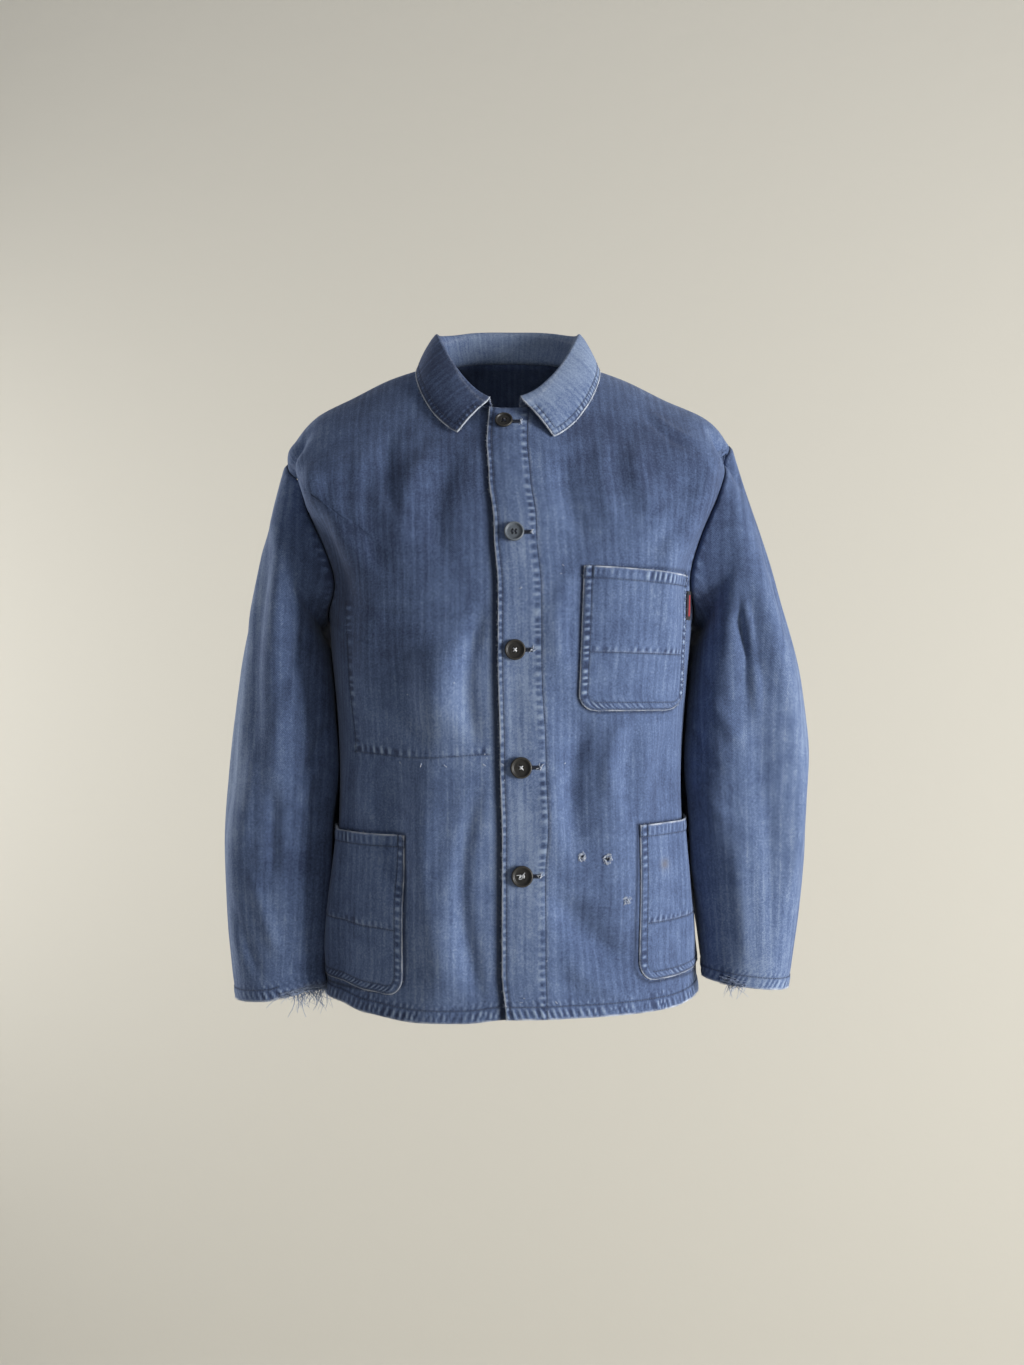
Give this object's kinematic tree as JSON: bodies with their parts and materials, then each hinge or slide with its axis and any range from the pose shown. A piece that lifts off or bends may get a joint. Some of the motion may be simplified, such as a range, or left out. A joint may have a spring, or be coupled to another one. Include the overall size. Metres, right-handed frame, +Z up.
{
  "type": "chore jacket",
  "caption": "Worn boxy work jacket in washed blue herringbone twill, buttoned up, with a folded collar, patch pockets, straight sleeves and frayed cuffs, hollow as worn",
  "frame": {"origin": "the middle of the neck, level with the base of the collar, where the wearer's neck and shoulders hold the jacket", "axes": "+Z up along the body, the front faces -Y, +X is the wearer's left"},
  "size_m": [0.6369, 0.2845, 0.7551],
  "materials": {
    "twill": "washed cotton herringbone twill, matte with a soft nap, faded on the ridges",
    "faded_twill": "the same twill, faded paler, with worn edges",
    "pocket_twill": "the same twill, a little paler than the body",
    "loose_thread": "pale frayed cotton yarn",
    "button": "near-black, half gloss, with a raised rim",
    "faded_button": "blue-grey, half gloss, with a raised rim",
    "tab": "black woven ribbon with one plain red stripe"
  },
  "bodies": {
    "root": {"back": "twill", "left_front": "twill", "right_front": "twill", "left_sleeve": "twill", "right_sleeve": "twill", "collar": "faded_twill", "chest_pocket": "pocket_twill", "lower_pocket_left": "pocket_twill", "lower_pocket_right": "pocket_twill", "inner_pocket": "pocket_twill", "right_cuff_fray": "loose_thread", "button_1": "button", "button_2": "faded_button", "button_3": "button", "button_4": "button", "button_5": "button", "label_tab": "tab"}
  },
  "joints": []
}
